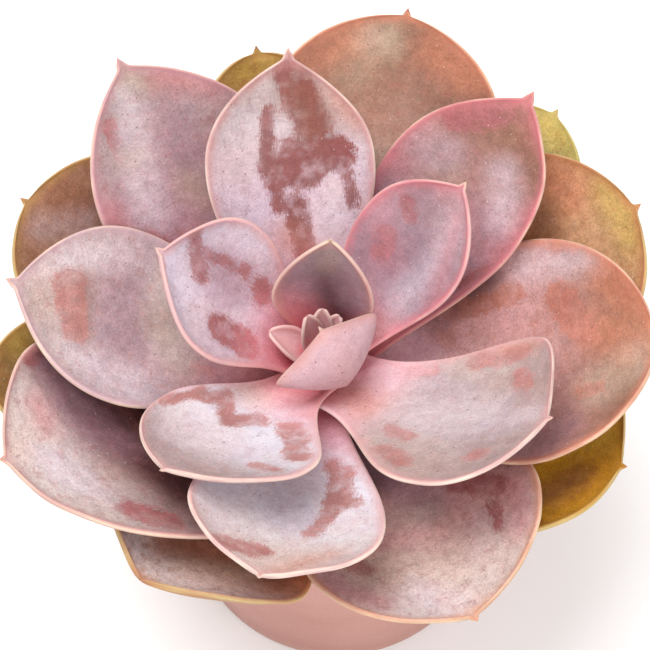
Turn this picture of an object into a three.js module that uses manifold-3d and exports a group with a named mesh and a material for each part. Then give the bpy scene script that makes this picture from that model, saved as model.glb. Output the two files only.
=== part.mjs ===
// A rosette succulent in a plain tapered pot: the pot, its soil, the plant's short stem, one solid for
// each large leaf, and the bud of small leaves at the heart. Millimetres, +Z up, with the origin at the
// middle of the pot's underside. The -Y side is the front.
import * as THREE from "three";
import { mergeVertices } from "three/addons/utils/BufferGeometryUtils.js";
import Module from "manifold-3d";

const wasm = await Module();
wasm.setup();

// ---- Driving dimensions ------------------------------------------------------------------------

const GAP = 0.3; // clearance kept between touching pieces
const SLIVER = 0.02; // edges and slivers smaller than this, left by a cut, are closed up
const POT = {
  baseRadius: 37.5,
  rimRadius: 46,
  height: 80,
  wall: 3.5,
  floor: 4,
  footRounding: 2.5,
  rimRounding: 1.4,
  drainRadius: 3.5,
  drainCircle: 20, // radius of the circle that the drain holes lie on
  drains: 4,
  sides: 40,
};
const SOIL = {
  top: 69.5, // mean height of the soil's surface
  crown: 1.5, // how much higher it is round the stem
  grain: 0.7, // height of the lumps
  sides: 36,
  rings: 6,
};
const STEM = {
  x: -4.4, // the plant stands a little to the left of the pot's middle
  y: 0,
  rootTip: 34,
  rootRadius: 1.6,
  foot: 68,
  footRadius: 6.6,
  crown: 98,
  crownRadius: 5,
  top: 101.5,
  sides: 16,
};

// What the leaves of one ring share. start is how far from the stem's axis the rib begins, neck is the
// width there as a share of the full width, widest is where the leaf is widest, as a share of its
// length, and tip is the length of the little point. steps is the number of cross-sections.
const RINGS = {
  outer: { start: 3, thick: 4.4, edge: 1.4, neck: 0.3, widest: 0.63, tip: 2, steps: 12 },
  middle: { start: 3, thick: 4.8, edge: 1.4, neck: 0.3, widest: 0.61, tip: 2.2, steps: 12 },
  inner: { start: 3, thick: 4.4, edge: 1.3, neck: 0.3, widest: 0.6, tip: 2, steps: 12 },
  heart: { start: 3, thick: 2.6, edge: 1, neck: 0.42, widest: 0.48, tip: 1.2, round: 0.8, steps: 10 },
  bud: { start: 1.4, thick: 1.6, edge: 0.9, neck: 0.55, widest: 0.46, tip: 0.6, round: 0.8, steps: 6 },
};
const LEAF_POINTS = 6; // points across each face of a leaf

// One row for each large leaf, from the lowest to the highest: its ring, azimuth (0 is +X, 90 is the
// back), the height of its base, its length and width, the slope of its rib at the base and at the
// tip, and the half angle that its blade is cupped by. Angles are in degrees. Extras: turn is the
// sideways bend of the rib, roll tips the blade about it, shear slides one edge ahead of the other,
// and lop makes one half wider. round shapes the end (0.5 is blunt and 1 is pointed), square gives it
// shoulders above 2, waist keeps it narrow for longer above 1, and a lower keel than 2.2 folds the back.
const LEAVES = [
  ["outer", 182, 77, 78.5, 40, 8, 24, 22, {}],
  ["outer", 101, 77, 84, 40, 13, 30, 22, {}],
  ["outer", 49, 76, 88, 50, 8, 26, 22, { round: 0.6 }],
  ["outer", 151, 80, 82, 55, 11, 27, 22, { lop: -0.06 }],
  ["outer", -22, 77, 74, 60, 5, 24, 30, { turn: 6, shear: 0.4, lop: 0.1 }],
  ["outer", -127, 78, 69, 62, -2, 40, 46, { shear: 0.3, lop: 0.1, thick: 4.8, round: 0.6 }],
  ["outer", 27, 81, 85, 60, 11, 29, 22, { turn: -3, lop: -0.05, widest: 0.66, round: 0.55 }],
  ["middle", 75, 84, 90, 56, 16, 30, 24, { turn: 2, widest: 0.68, square: 2.2, round: 0.6 }],
  ["middle", -62, 84, 74, 59, 8, 26, 32, { lop: 0.05 }],
  ["middle", 0, 86, 80, 57, 12, 28, 26, { lop: 0.02 }],
  ["middle", -158, 86, 78.5, 62, 9, 28, 38, { shear: -0.36, lop: 0.14, neck: 0.36, widest: 0.56 }],
  ["middle", 125, 88, 87, 48, 16, 30, 24, { lop: 0.03, tip: 2.8, widest: 0.58, square: 2.3, round: 0.86 }],
  ["middle", 48, 89, 81, 39, 18, 30, 24, { turn: 4, lop: 0.05, tip: 2.6, square: 2.4, round: 0.88 }],
  ["middle", 170, 91, 74.5, 44.5, 14, 28, 28, { lop: 0.03, tip: 2.6, square: 2.4, round: 0.84 }],
  [
    ...["inner", -98, 93, 68, 46, 16, 38, 34],
    { turn: -9, shear: 0.06, lop: 0.04, neck: 0.24, widest: 0.72, round: 0.52, square: 2.2 },
  ],
  [
    ...["inner", 102, 94, 73, 40, 24, 36, 26],
    { turn: -12, lop: 0.03, tip: 2.6, neck: 0.26, widest: 0.62, square: 2.3, round: 0.92 },
  ],
  [
    ...["inner", -33, 96, 60, 48, 18, 34, 32],
    { turn: 18, roll: -12, shear: 0.26, lop: -0.14, neck: 0.4, waist: 1.4, widest: 0.72, square: 2.6 },
  ],
  [
    ...["inner", -134, 97, 54, 44, 22, 34, 30],
    { roll: 17, shear: 0.05, lop: 0.26, waist: 1.3, widest: 0.62, square: 2.6 },
  ],
  ["inner", 45, 99, 52.5, 30, 28, 44, 34, { turn: -4, neck: 0.4, square: 2.5, round: 0.84 }],
  ["inner", 158, 100, 47, 37, 30, 46, 52, { neck: 0.38, tip: 2.4, square: 2.3, round: 0.76 }],
  ["heart", 82, 101, 32, 24.5, 52, 76, 46, { lop: 0.05 }],
  [
    ...["heart", -56, 101.5, 24, 30, 30, 168, 46],
    { turn: 6, thick: 3.6, neck: 0.2, widest: 0.6, round: 0.9, keel: 1 },
  ],
];

// The small leaves of the bud, in the same form. They are fused with each other into one piece.
const BUD = [
  ["bud", 168, 101, 15, 8.5, 40, 50, 70, {}],
  ["bud", 128, 101, 16.5, 6.5, 74, 84, 60, {}],
  ["bud", 84, 101, 17, 6, 72, 82, 60, {}],
  ["bud", 42, 101, 16.5, 6.5, 70, 80, 60, {}],
  ["bud", -25, 101, 12, 6, 66, 96, 60, {}],
  ["bud", -105, 101, 11, 6, 66, 96, 60, {}],
];

const COLOURS = {
  pot: 0xb98878,
  soil: 0x4a3b30,
  stem: 0x9a8468,
  outer: 0xa78552,
  middle: 0xb98a86,
  inner: 0xcfa9ae,
  heart: 0xc99a9f,
};

// ---- Solids ------------------------------------------------------------------------------------

function solidOf(geometry) {
  const bare = new THREE.BufferGeometry();
  bare.setAttribute("position", geometry.getAttribute("position"));
  bare.setIndex(geometry.getIndex());
  const merged = mergeVertices(bare, 1e-4);
  return new wasm.Manifold(
    new wasm.Mesh({
      numProp: 3,
      vertProperties: merged.getAttribute("position").array,
      triVerts: new Uint32Array(merged.getIndex().array),
    }),
  );
}

function geometryOf(solid) {
  const mesh = solid.getMesh();
  const geometry = new THREE.BufferGeometry();
  geometry.setAttribute("position", new THREE.BufferAttribute(mesh.vertProperties, 3));
  geometry.setIndex(new THREE.BufferAttribute(mesh.triVerts, 1));
  geometry.computeVertexNormals();
  return geometry;
}

function largestPiece(solid) {
  const pieces = solid.decompose();
  return pieces.reduce((best, piece) => (piece.volume() > best.volume() ? piece : best));
}

// A turned solid: profile is a list of [radius, height] that runs from the axis up the outside.
function turned(profile, sides) {
  const points = profile.map(([radius, height]) => new THREE.Vector2(radius, height));
  return new THREE.LatheGeometry(points, sides).rotateX(Math.PI / 2);
}

// ---- Pot, soil and stem ------------------------------------------------------------------------

function rounded(x, z, radius, from, to, steps = 2) {
  return Array.from({ length: steps + 1 }, (_, k) => {
    const angle = from + ((to - from) * k) / steps;
    return [x + radius * Math.cos(angle), z + radius * Math.sin(angle)];
  });
}

function potWallRadius(height) {
  return POT.baseRadius + ((POT.rimRadius - POT.baseRadius) * height) / POT.height;
}

function makePot() {
  const { wall, floor, height, footRounding: foot, rimRounding: rim } = POT;
  const innerBase = potWallRadius(floor) - wall;
  const profile = [
    [0, 0],
    ...rounded(POT.baseRadius - foot, foot, foot, -Math.PI / 2, 0),
    ...rounded(POT.rimRadius - rim, height - rim, rim, 0, Math.PI / 2),
    ...rounded(POT.rimRadius - wall + rim, height - rim, rim, Math.PI / 2, Math.PI),
    [innerBase, floor],
    [0, floor],
  ];
  let pot = solidOf(turned(profile, POT.sides));
  for (let k = 0; k < POT.drains; k++) {
    const angle = ((k + 0.5) * 2 * Math.PI) / POT.drains;
    const drain = new THREE.CylinderGeometry(POT.drainRadius, POT.drainRadius, 3 * floor, 12);
    drain.rotateX(Math.PI / 2);
    drain.translate(POT.drainCircle * Math.cos(angle), POT.drainCircle * Math.sin(angle), 0);
    pot = pot.subtract(solidOf(drain));
  }
  return pot;
}

// The soil's lumps, from a sum of waves that never lines up with itself.
function lump(x, y) {
  const waves = Math.sin(0.61 * x + 0.32 * y) * Math.cos(0.47 * y - 0.21 * x);
  return SOIL.grain * (0.6 * waves + 0.4 * Math.sin(1.13 * x - 0.74 * y));
}

function makeSoil(stemHole) {
  const low = POT.floor + GAP;
  const edge = potWallRadius(SOIL.top) - POT.wall - GAP;
  const profile = [
    [0, low],
    [potWallRadius(low) - POT.wall - GAP, low],
    [edge, SOIL.top],
  ];
  for (let k = SOIL.rings - 1; k >= 0; k--) {
    const share = k / SOIL.rings;
    profile.push([edge * share, SOIL.top + SOIL.crown * (1 - share * share)]);
  }
  const geometry = turned(profile, SOIL.sides);
  const position = geometry.getAttribute("position");
  for (let i = 0; i < position.count; i++) {
    const [x, y, z] = [position.getX(i), position.getY(i), position.getZ(i)];
    if (z >= SOIL.top) position.setZ(i, z + lump(x, y));
  }
  return solidOf(geometry).subtract(stemHole);
}

// The stem runs down into the soil as a tapering root. grown makes it that much fatter, for cutting
// the hole that it stands in and the seats of the leaves.
function makeStem(grown = 0) {
  const profile = [
    [0, STEM.rootTip - grown],
    [STEM.rootRadius + grown, STEM.rootTip - grown],
    [STEM.footRadius * 0.8 + grown, STEM.foot - 10],
    [STEM.footRadius + grown, STEM.foot + 4],
    [STEM.crownRadius + grown, STEM.crown],
    [STEM.crownRadius * 0.6 + grown, STEM.top + grown],
    [0, STEM.top + grown],
  ];
  return solidOf(turned(profile, STEM.sides).translate(STEM.x, STEM.y, 0));
}

// ---- Leaves ------------------------------------------------------------------------------------

function leafFrom([ring, azimuth, height, length, width, rise, riseAtTip, cup, extras]) {
  const plain = { turn: 0, roll: 0, shear: 0, lop: 0, round: 0.5, square: 2, waist: 1, keel: 2.2 };
  const own = { ring, azimuth, height, length, width, rise, riseAtTip, cup };
  return { ...plain, ...RINGS[ring], ...own, ...extras };
}

const radians = THREE.MathUtils.degToRad;
const RIB_STEPS = 120;

// Half the leaf's width at a share s of its length: a smooth swelling from the neck, a rounded end,
// and the little point as a cone blended into it.
function halfWidth(leaf, s) {
  const swelling = ((1 - Math.cos(Math.PI * Math.min(s / leaf.widest, 1))) / 2) ** leaf.waist;
  const end = 1 - leaf.tip / leaf.length;
  const past = THREE.MathUtils.clamp((s - leaf.widest) / (end - leaf.widest), 0, 1);
  const share =
    s < leaf.widest
      ? leaf.neck + (1 - leaf.neck) * swelling
      : (1 - past ** leaf.square) ** leaf.round;
  const nearTip = THREE.MathUtils.clamp((s - leaf.widest) / (1 - leaf.widest), 0, 1) ** 4;
  const toTip = (1 - s) * leaf.length;
  const cone = toTip * (0.45 + 0.08 * toTip) * nearTip;
  return Math.cbrt(((share * leaf.width) / 2) ** 3 + cone ** 3);
}

function ribDirection(leaf, s) {
  const slope = radians(leaf.rise + (leaf.riseAtTip - leaf.rise) * s);
  const heading = radians(leaf.azimuth + leaf.turn * s);
  const level = Math.cos(slope);
  return new THREE.Vector3(
    level * Math.cos(heading),
    level * Math.sin(heading),
    Math.sin(slope),
  );
}

function ribPoint(leaf, s) {
  const azimuth = radians(leaf.azimuth);
  const point = new THREE.Vector3(
    STEM.x + leaf.start * Math.cos(azimuth),
    STEM.y + leaf.start * Math.sin(azimuth),
    leaf.height,
  );
  for (let k = 0; k < RIB_STEPS; k++) {
    point.addScaledVector(ribDirection(leaf, (s * (k + 0.5)) / RIB_STEPS), (s * leaf.length) / RIB_STEPS);
  }
  return point;
}

// One closed cross-section of the leaf: the upper face from the left edge to the right one, then the
// lower face back again. grown makes it that much larger all round.
function crossSection(leaf, s, grown) {
  const forward = ribDirection(leaf, s);
  const heading = radians(leaf.azimuth + leaf.turn * s);
  const level = new THREE.Vector3(-Math.sin(heading), Math.cos(heading), 0);
  const side = level.applyAxisAngle(forward, radians(leaf.roll));
  const up = new THREE.Vector3().crossVectors(forward, side);
  const centre = ribPoint(leaf, s);

  const half = halfWidth(leaf, s) + grown;
  const cup = radians(leaf.cup) * (0.75 + 0.25 * s);
  const fullness = 0.75 + 0.25 * Math.sin(Math.PI * Math.min(s * 1.3, 1));
  const thick = Math.min(leaf.thick * fullness * (1 - 0.75 * s ** 3), 1.6 * half + 0.02);
  const edge = Math.min(leaf.edge, 1.2 * half + 0.01);

  const place = (v, depth) => {
    const reach = half * (1 + leaf.lop * v);
    const across = (reach * Math.sin(cup * v)) / cup - Math.sin(cup * v) * depth;
    const lift = (reach * (1 - Math.cos(cup * v))) / cup + Math.cos(cup * v) * depth;
    const along = leaf.shear * v * half * Math.sin(Math.PI * s);
    return centre
      .clone()
      .addScaledVector(side, across)
      .addScaledVector(up, lift)
      .addScaledVector(forward, along);
  };
  const spread = Array.from({ length: LEAF_POINTS }, (_, k) =>
    Math.cos((Math.PI * k) / (LEAF_POINTS - 1)),
  );
  const upper = spread.map((v) => place(v, grown));
  const lower = spread.toReversed().map((v) => {
    const depth = edge + (thick - edge) * (1 - Math.abs(v) ** leaf.keel);
    return place(v, -depth - grown);
  });
  return [...upper, ...lower];
}

function makeLeaf(leaf, grown = 0) {
  const around = 2 * LEAF_POINTS;
  const positions = [];
  for (let i = 0; i < leaf.steps; i++) {
    const s = 1 - (1 - i / leaf.steps) ** 1.6; // closer together towards the tip
    for (const point of crossSection(leaf, s, grown)) positions.push(...point);
  }
  positions.push(...ribPoint(leaf, 1).addScaledVector(ribDirection(leaf, 1), grown));
  const index = [];
  for (let i = 0; i < leaf.steps - 1; i++) {
    for (let j = 0; j < around; j++) {
      const [a, b] = [i * around + j, i * around + ((j + 1) % around)];
      const [c, d] = [b + around, a + around];
      // both faces are split along the same diagonal
      if (j < LEAF_POINTS) index.push(a, b, c, a, c, d);
      else index.push(a, b, d, b, c, d);
    }
  }
  for (let j = 1; j < around - 1; j++) index.push(0, j + 1, j);
  const tip = leaf.steps * around;
  const last = tip - around;
  for (let j = 0; j < around; j++) index.push(last + j, last + ((j + 1) % around), tip);
  const geometry = new THREE.BufferGeometry();
  geometry.setAttribute("position", new THREE.Float32BufferAttribute(positions, 3));
  geometry.setIndex(index);
  return solidOf(geometry);
}

// ---- Assembly ----------------------------------------------------------------------------------

const group = new THREE.Group();

function addPiece(name, solid, colour, roughness) {
  const material = new THREE.MeshStandardMaterial({ color: colour, roughness, metalness: 0 });
  const mesh = new THREE.Mesh(geometryOf(solid.asOriginal().simplify(SLIVER)), material);
  mesh.name = name;
  group.add(mesh);
}

const stemSeat = makeStem(GAP);
addPiece("pot", makePot(), COLOURS.pot, 0.55);
addPiece("soil", makeSoil(stemSeat), COLOURS.soil, 0.95);
addPiece("stem", makeStem(), COLOURS.stem, 0.8);

const bud = BUD.map((row) => makeLeaf(leafFrom(row))).reduce((all, leaf) => all.add(leaf));
addPiece("bud", largestPiece(bud.subtract(stemSeat)), COLOURS.heart, 0.5);

// From the highest leaf down, each is cut clear of the stem and of the leaves above it.
const above = BUD.map((row) => makeLeaf(leafFrom(row), GAP));
for (let k = LEAVES.length - 1; k >= 0; k--) {
  const leaf = leafFrom(LEAVES[k]);
  let solid = makeLeaf(leaf).subtract(stemSeat);
  for (const higher of above) solid = solid.subtract(higher);
  above.push(makeLeaf(leaf, GAP));
  const number = String(k + 1).padStart(2, "0");
  addPiece("leaf_" + number, largestPiece(solid), COLOURS[leaf.ring], 0.55);
}

export default group;
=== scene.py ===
"""The looks of a potted rosette succulent: smooth fleshy leaves with their waxy bloom, the bud at the
heart, the corky stem, the gritty soil and the satin clay pot, on a pale floor in soft light.

Lengths in the tables are millimetres, as on a drawing of the plant, and MM turns them into metres.
The -Y side is the front, and 0 degrees of azimuth is +X."""
import math

import bpy
import numpy as np
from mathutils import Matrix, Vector
from mathutils.bvhtree import BVHTree


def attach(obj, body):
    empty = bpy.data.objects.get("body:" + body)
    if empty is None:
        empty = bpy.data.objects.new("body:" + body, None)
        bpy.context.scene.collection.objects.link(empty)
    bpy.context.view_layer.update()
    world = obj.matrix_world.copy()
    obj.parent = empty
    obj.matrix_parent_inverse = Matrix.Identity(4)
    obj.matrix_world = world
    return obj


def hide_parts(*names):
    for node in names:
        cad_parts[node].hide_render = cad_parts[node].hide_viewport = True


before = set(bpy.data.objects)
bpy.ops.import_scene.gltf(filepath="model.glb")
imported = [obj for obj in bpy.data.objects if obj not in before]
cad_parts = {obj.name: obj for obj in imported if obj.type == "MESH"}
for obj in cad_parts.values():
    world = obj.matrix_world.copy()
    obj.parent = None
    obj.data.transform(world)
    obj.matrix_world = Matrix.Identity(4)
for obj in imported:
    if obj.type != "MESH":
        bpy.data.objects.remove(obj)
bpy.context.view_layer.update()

MM = 0.001
SEED = 20


def add_object(name, data):
    item = bpy.data.objects.new(name, data)
    bpy.context.scene.collection.objects.link(item)
    return item


# ---- Camera ----

IMAGE_SIZE = 650  # pixels along each side of the picture
CAMERA_ELEVATION = 65  # degrees above level
CAMERA_DISTANCE = 0.7  # metres, like the target
CAMERA_TARGET = (-0.0033, 0.0041, 0.1109)
FOCAL_PIXELS = 3080
SENSOR_WIDTH = 36


def add_camera():
    elevation = math.radians(CAMERA_ELEVATION)
    away = Vector((0, -math.cos(elevation), math.sin(elevation)))
    data = bpy.data.cameras.new("camera")
    data.sensor_width = SENSOR_WIDTH
    data.lens = FOCAL_PIXELS / IMAGE_SIZE * SENSOR_WIDTH
    camera = add_object("camera", data)
    camera.location = Vector(CAMERA_TARGET) + away * CAMERA_DISTANCE
    camera.rotation_euler = (math.pi / 2 - elevation, 0, 0)
    bpy.context.scene.camera = camera


add_camera()

# ---- Meshes ----


def add_mesh(name, points, faces, material, smooth=True):
    """A mesh object at the origin, from points in millimetres."""
    mesh = bpy.data.meshes.new(name)
    mesh.from_pydata((np.asarray(points) * MM).tolist(), [], faces)
    mesh.validate()
    mesh.materials.append(material)
    if smooth:
        mesh.shade_smooth()
    return add_object(name, mesh)


def keep_values(piece, name, values):
    """Stores one number, place or colour for each vertex, for the material to read."""
    values = np.asarray(values, np.float32)
    width = 1 if values.ndim == 1 else values.shape[1]
    kind, field = {1: ("FLOAT", "value"), 3: ("FLOAT_VECTOR", "vector"), 4: ("FLOAT_COLOR", "color")}[width]
    attribute = piece.data.attributes.new(name, kind, "POINT")
    attribute.data.foreach_set(field, values.ravel())


def smoothstep(low, high, value):
    share = np.clip((value - low) / (high - low), 0, 1)
    return share * share * (3 - 2 * share)


def blend(first, second, share):
    return first * (1 - share) + second * share


def settle(piece, node):
    """The piece stands for that CAD node, which is hidden, and hangs from the root body."""
    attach(piece, "root")
    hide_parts(node)


# ---- Material graphs ----


def srgb(red, green, blue):
    """A colour given as 0 to 255, as the linear numbers that shaders use."""
    parts = [c / 255 for c in (red, green, blue)]
    return tuple(c / 12.92 if c <= 0.04045 else ((c + 0.055) / 1.055) ** 2.4 for c in parts) + (1.0,)


class Graph:
    """One material's node tree. Each method adds a node and returns its output socket."""

    def __init__(self, name):
        self.material = bpy.data.materials.new(name)
        self.material.use_nodes = True
        self.tree = self.material.node_tree
        self.tree.nodes.clear()

    def add(self, kind, **settings):
        node = self.tree.nodes.new(kind)
        for key, value in settings.items():
            setattr(node, key, value)
        return node

    def feed(self, socket, value):
        if isinstance(value, bpy.types.NodeSocket):
            self.tree.links.new(value, socket)
        else:
            socket.default_value = value

    def stored(self, name, output="Fac"):
        return self.add("ShaderNodeAttribute", attribute_name=name).outputs[output]

    def place(self):
        """Where a point is on the object, in millimetres."""
        return self.stretched(self.add("ShaderNodeTexCoord").outputs["Object"], (1 / MM,) * 3)

    def stretched(self, place, scale):
        node = self.add("ShaderNodeVectorMath", operation="MULTIPLY")
        self.feed(node.inputs[0], place)
        node.inputs[1].default_value = scale
        return node.outputs[0]

    def maths(self, operation, *values):
        node = self.add("ShaderNodeMath", operation=operation)
        for socket, value in zip(node.inputs, values):
            self.feed(socket, value)
        return node.outputs[0]

    def product(self, first, second):
        return self.maths("MULTIPLY", first, second)

    def total(self, first, second):
        return self.maths("ADD", first, second)

    def swing(self, value, amount):
        """A noise about 0.5 becomes one about 0."""
        return self.product(self.maths("SUBTRACT", value, 0.5), amount)

    def between(self, value, low, high, start=0.0, end=1.0):
        """Rises smoothly from start to end as value goes from low to high."""
        node = self.add("ShaderNodeMapRange", interpolation_type="SMOOTHSTEP")
        keys = ("Value", "From Min", "From Max", "To Min", "To Max")
        for key, given in zip(keys, (value, low, high, start, end)):
            self.feed(node.inputs[key], given)
        return node.outputs[0]

    def mix(self, share, first, second, mode="MIX"):
        node = self.add("ShaderNodeMix", data_type="RGBA", blend_type=mode)
        for index, value in ((0, share), (6, first), (7, second)):
            self.feed(node.inputs[index], value)
        return node.outputs[2]

    def glazed(self, share, colour, glaze):
        """The colour as it looks through a thin layer of another."""
        return self.mix(share, colour, self.mix(1.0, colour, glaze, "MULTIPLY"))

    def noise(self, place, scale, detail=2.0, roughness=0.5, distortion=0.0):
        node = self.add("ShaderNodeTexNoise")
        self.feed(node.inputs["Vector"], place)
        keys = ("Scale", "Detail", "Roughness", "Distortion")
        for key, value in zip(keys, (scale, detail, roughness, distortion)):
            node.inputs[key].default_value = value
        return node.outputs["Fac"]

    def cells(self, place, scale, output="Distance"):
        node = self.add("ShaderNodeTexVoronoi")
        self.feed(node.inputs["Vector"], place)
        node.inputs["Scale"].default_value = scale
        return node.outputs[output]

    def specks(self, place, scale, size, share):
        """Small round dots, one in some of the cells. share is how many cells have one."""
        dots = self.between(self.cells(place, scale), size * 0.5, size, 1.0, 0.0)
        chance = self.add("ShaderNodeSeparateColor")
        self.feed(chance.inputs[0], self.cells(place, scale, "Color"))
        return self.product(dots, self.maths("LESS_THAN", chance.outputs[0], share))

    def bump(self, height, strength, distance, normal=None):
        node = self.add("ShaderNodeBump")
        self.feed(node.inputs["Height"], height)
        node.inputs["Strength"].default_value = strength
        node.inputs["Distance"].default_value = distance
        if normal is not None:
            self.feed(node.inputs["Normal"], normal)
        return node.outputs[0]

    def finish(self, **inputs):
        shader = self.add("ShaderNodeBsdfPrincipled")
        for key, value in inputs.items():
            self.feed(shader.inputs[key.replace("_", " ")], value)
        output = self.add("ShaderNodeOutputMaterial")
        self.tree.links.new(shader.outputs[0], output.inputs["Surface"])
        return self.material


# ---- Dimensions ----

POT = {
    "base_radius": 37.5, "rim_radius": 46, "height": 80, "wall": 3.5, "floor": 4, "foot": 2.5, "rim": 1.4,
    "corner": 3, "drain_radius": 3.5, "drain_circle": 20, "drains": 4,
}
SOIL = {"top": 69.5, "crown": 1.5, "crumb": 0.8, "low": 4.3, "gap": 0.3}
GRIT = {"count": 190, "spread": 38, "stem_gap": 10, "least": 0.5, "most": 1.7}
STEM = {"x": -4.4, "y": 0.0, "top": 101.5}
# Heights on the stem and the radius there.
STEM_PROFILE = [(34, 1.6), (58, 5.3), (68, 6.4), (74, 6.4), (90, 5.4), (98, 5), (101.5, 3)]

# What the leaves of one ring share. start is how far from the stem's axis the rib begins, thick and
# edge are how thick the blade is in the middle and at the margin, neck is the width at the start as a
# share of the full width, widest is where the leaf is widest, as a share of its length, tip is the
# length of the little point, and ripple is how uneven the blade is.
RINGS = {
    "outer": dict(start=3, thick=4.4, edge=1.2, neck=0.3, widest=0.63, tip=2, ripple=0.6),
    "middle": dict(start=3, thick=4.8, edge=1.1, neck=0.3, widest=0.61, tip=2.2, ripple=0.55),
    "inner": dict(start=3, thick=4.4, edge=1, neck=0.3, widest=0.6, tip=2, ripple=0.4),
    "heart": dict(start=3, thick=2.6, edge=0.9, neck=0.42, widest=0.48, tip=1.2, round=0.8, ripple=0.12),
    "bud": dict(start=1.4, thick=1.6, edge=0.9, neck=0.55, widest=0.46, tip=0.6, round=0.8, ripple=0.04),
}

# One row for each large leaf, from the lowest to the highest: its ring, azimuth, the height of its
# base, its length and width, the slope of its rib at the base and at the tip, and the half angle that
# its blade is cupped by. turn is the sideways bend of the rib, roll tips the blade about it, shear
# slides one edge ahead of the other, and lop makes one half wider. round shapes the end (0.5 is blunt
# and 1 is pointed), square gives it shoulders above 2, waist keeps it narrow for longer above 1, and a
# lower keel than 2.2 folds the back.
LEAVES = [
    ("outer", 182, 77, 78.5, 40, 8, 24, 22, {}),
    ("outer", 101, 77, 84, 40, 13, 30, 22, {}),
    ("outer", 49, 76, 88, 50, 8, 26, 22, dict(round=0.6)),
    ("outer", 151, 80, 82, 55, 11, 27, 22, dict(lop=-0.06)),
    ("outer", -22, 77, 74, 60, 5, 24, 30, dict(turn=6, shear=0.4, lop=0.1)),
    ("outer", -127, 78, 69, 62, -2, 40, 46, dict(shear=0.3, lop=0.1, thick=4.8, tip=1.2)),
    ("outer", 27, 81, 85, 60, 11, 29, 22, dict(turn=-3, lop=-0.05, widest=0.66, round=0.55)),
    ("middle", 75, 84, 90, 56, 16, 30, 24, dict(turn=2, widest=0.68, square=2.2, round=0.6)),
    ("middle", -62, 84, 74, 59, 8, 26, 32, dict(lop=0.05)),
    ("middle", 0, 86, 80, 57, 12, 28, 26, dict(lop=0.02)),
    ("middle", -158, 86, 78.5, 62, 9, 28, 38, dict(shear=-0.36, lop=0.14, neck=0.36, widest=0.56)),
    ("middle", 125, 88, 87, 48, 16, 30, 24,
     dict(lop=0.03, tip=2.8, widest=0.58, square=2.3, round=0.86)),
    ("middle", 48, 89, 81, 39, 18, 30, 24,
     dict(turn=4, lop=0.05, tip=2.6, square=2.4, round=0.88)),
    ("middle", 170, 91, 74.5, 44.5, 14, 28, 28, dict(lop=0.03, tip=2.6, square=2.4, round=0.84)),
    ("inner", -98, 93, 68, 46, 16, 38, 34,
     dict(turn=-9, shear=0.06, lop=0.04, neck=0.24, widest=0.72, round=0.52, square=2.2)),
    ("inner", 102, 94, 73, 40, 24, 36, 26,
     dict(turn=-12, lop=0.03, tip=2.6, neck=0.26, widest=0.62, square=2.3, round=0.92)),
    ("inner", -33, 96, 60, 48, 18, 34, 32,
     dict(turn=18, roll=-12, shear=0.26, lop=-0.14, neck=0.4, waist=1.4, widest=0.72, square=2.6)),
    ("inner", -134, 97, 54, 44, 22, 34, 30,
     dict(roll=17, shear=0.05, lop=0.26, waist=1.3, widest=0.62, square=2.6)),
    ("inner", 45, 99, 52.5, 30, 28, 44, 34, dict(turn=-4, neck=0.4, square=2.5, round=0.84)),
    ("inner", 158, 100, 47, 37, 30, 46, 52, dict(neck=0.38, tip=2.4, square=2.3, round=0.76)),
    ("heart", 82, 101, 32, 24.5, 52, 76, 46, dict(lop=0.05)),
    ("heart", -56, 101.5, 24, 30, 30, 168, 46,
     dict(turn=6, thick=3.6, neck=0.2, widest=0.6, round=0.9, keel=1)),
]
BUD = [
    ("bud", 168, 101, 15, 8.5, 40, 50, 70, {}),
    ("bud", 128, 101, 16.5, 6.5, 74, 84, 60, {}),
    ("bud", 84, 101, 17, 6, 72, 82, 60, {}),
    ("bud", 42, 101, 16.5, 6.5, 70, 80, 60, {}),
    ("bud", -25, 101, 12, 6, 66, 96, 60, {}),
    ("bud", -105, 101, 11, 6, 66, 96, 60, {}),
]
BUD_NUMBER = 30  # the bud's leaves are numbered on from here


def leaf_from(row, number):
    keys = ("ring", "azimuth", "height", "length", "width", "rise", "rise_at_tip", "cup")
    plain = {"turn": 0, "roll": 0, "shear": 0, "lop": 0, "round": 0.5, "square": 2, "waist": 1, "keel": 2.2}
    return {**plain, **RINGS[row[0]], **dict(zip(keys, row)), **row[8], "number": number}


# ---- Leaf shapes ----

RIB_STEPS = 240
ROWS = 84  # cross-sections along a leaf
COLUMNS = 41  # points across each face
MARGIN_POINTS = 5  # points round each margin, between the two faces
BEAD = 0.16  # height of the low lip along the margin of the upper face
CLEARANCE = 0.5  # how far a leaf stays below the ones above it
REACH = 8.0  # how deep a leaf can sit in one above it and still be bent clear


def half_width(leaf, s):
    """Half the leaf's width at a share s of its length: a smooth swelling from the neck, a rounded
    end, and the little point as a cone blended into it."""
    swelling = ((1 - np.cos(np.pi * np.minimum(s / leaf["widest"], 1))) / 2) ** leaf["waist"]
    end = 1 - leaf["tip"] / leaf["length"]
    past = np.clip((s - leaf["widest"]) / (end - leaf["widest"]), 0, 1)
    share = np.where(
        s < leaf["widest"],
        leaf["neck"] + (1 - leaf["neck"]) * swelling,
        (1 - past ** leaf["square"]) ** leaf["round"],
    )
    near_tip = np.clip((s - leaf["widest"]) / (1 - leaf["widest"]), 0, 1) ** 4
    to_tip = (1 - s) * leaf["length"]
    cone = to_tip * (0.45 + 0.08 * to_tip) * near_tip
    return np.cbrt((share * leaf["width"] / 2) ** 3 + cone**3)


def rib_direction(leaf, s):
    slope = np.radians(leaf["rise"] + (leaf["rise_at_tip"] - leaf["rise"]) * s)
    heading = np.radians(leaf["azimuth"] + leaf["turn"] * s)
    level = np.cos(slope)
    return np.stack([level * np.cos(heading), level * np.sin(heading), np.sin(slope)], -1)


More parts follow.
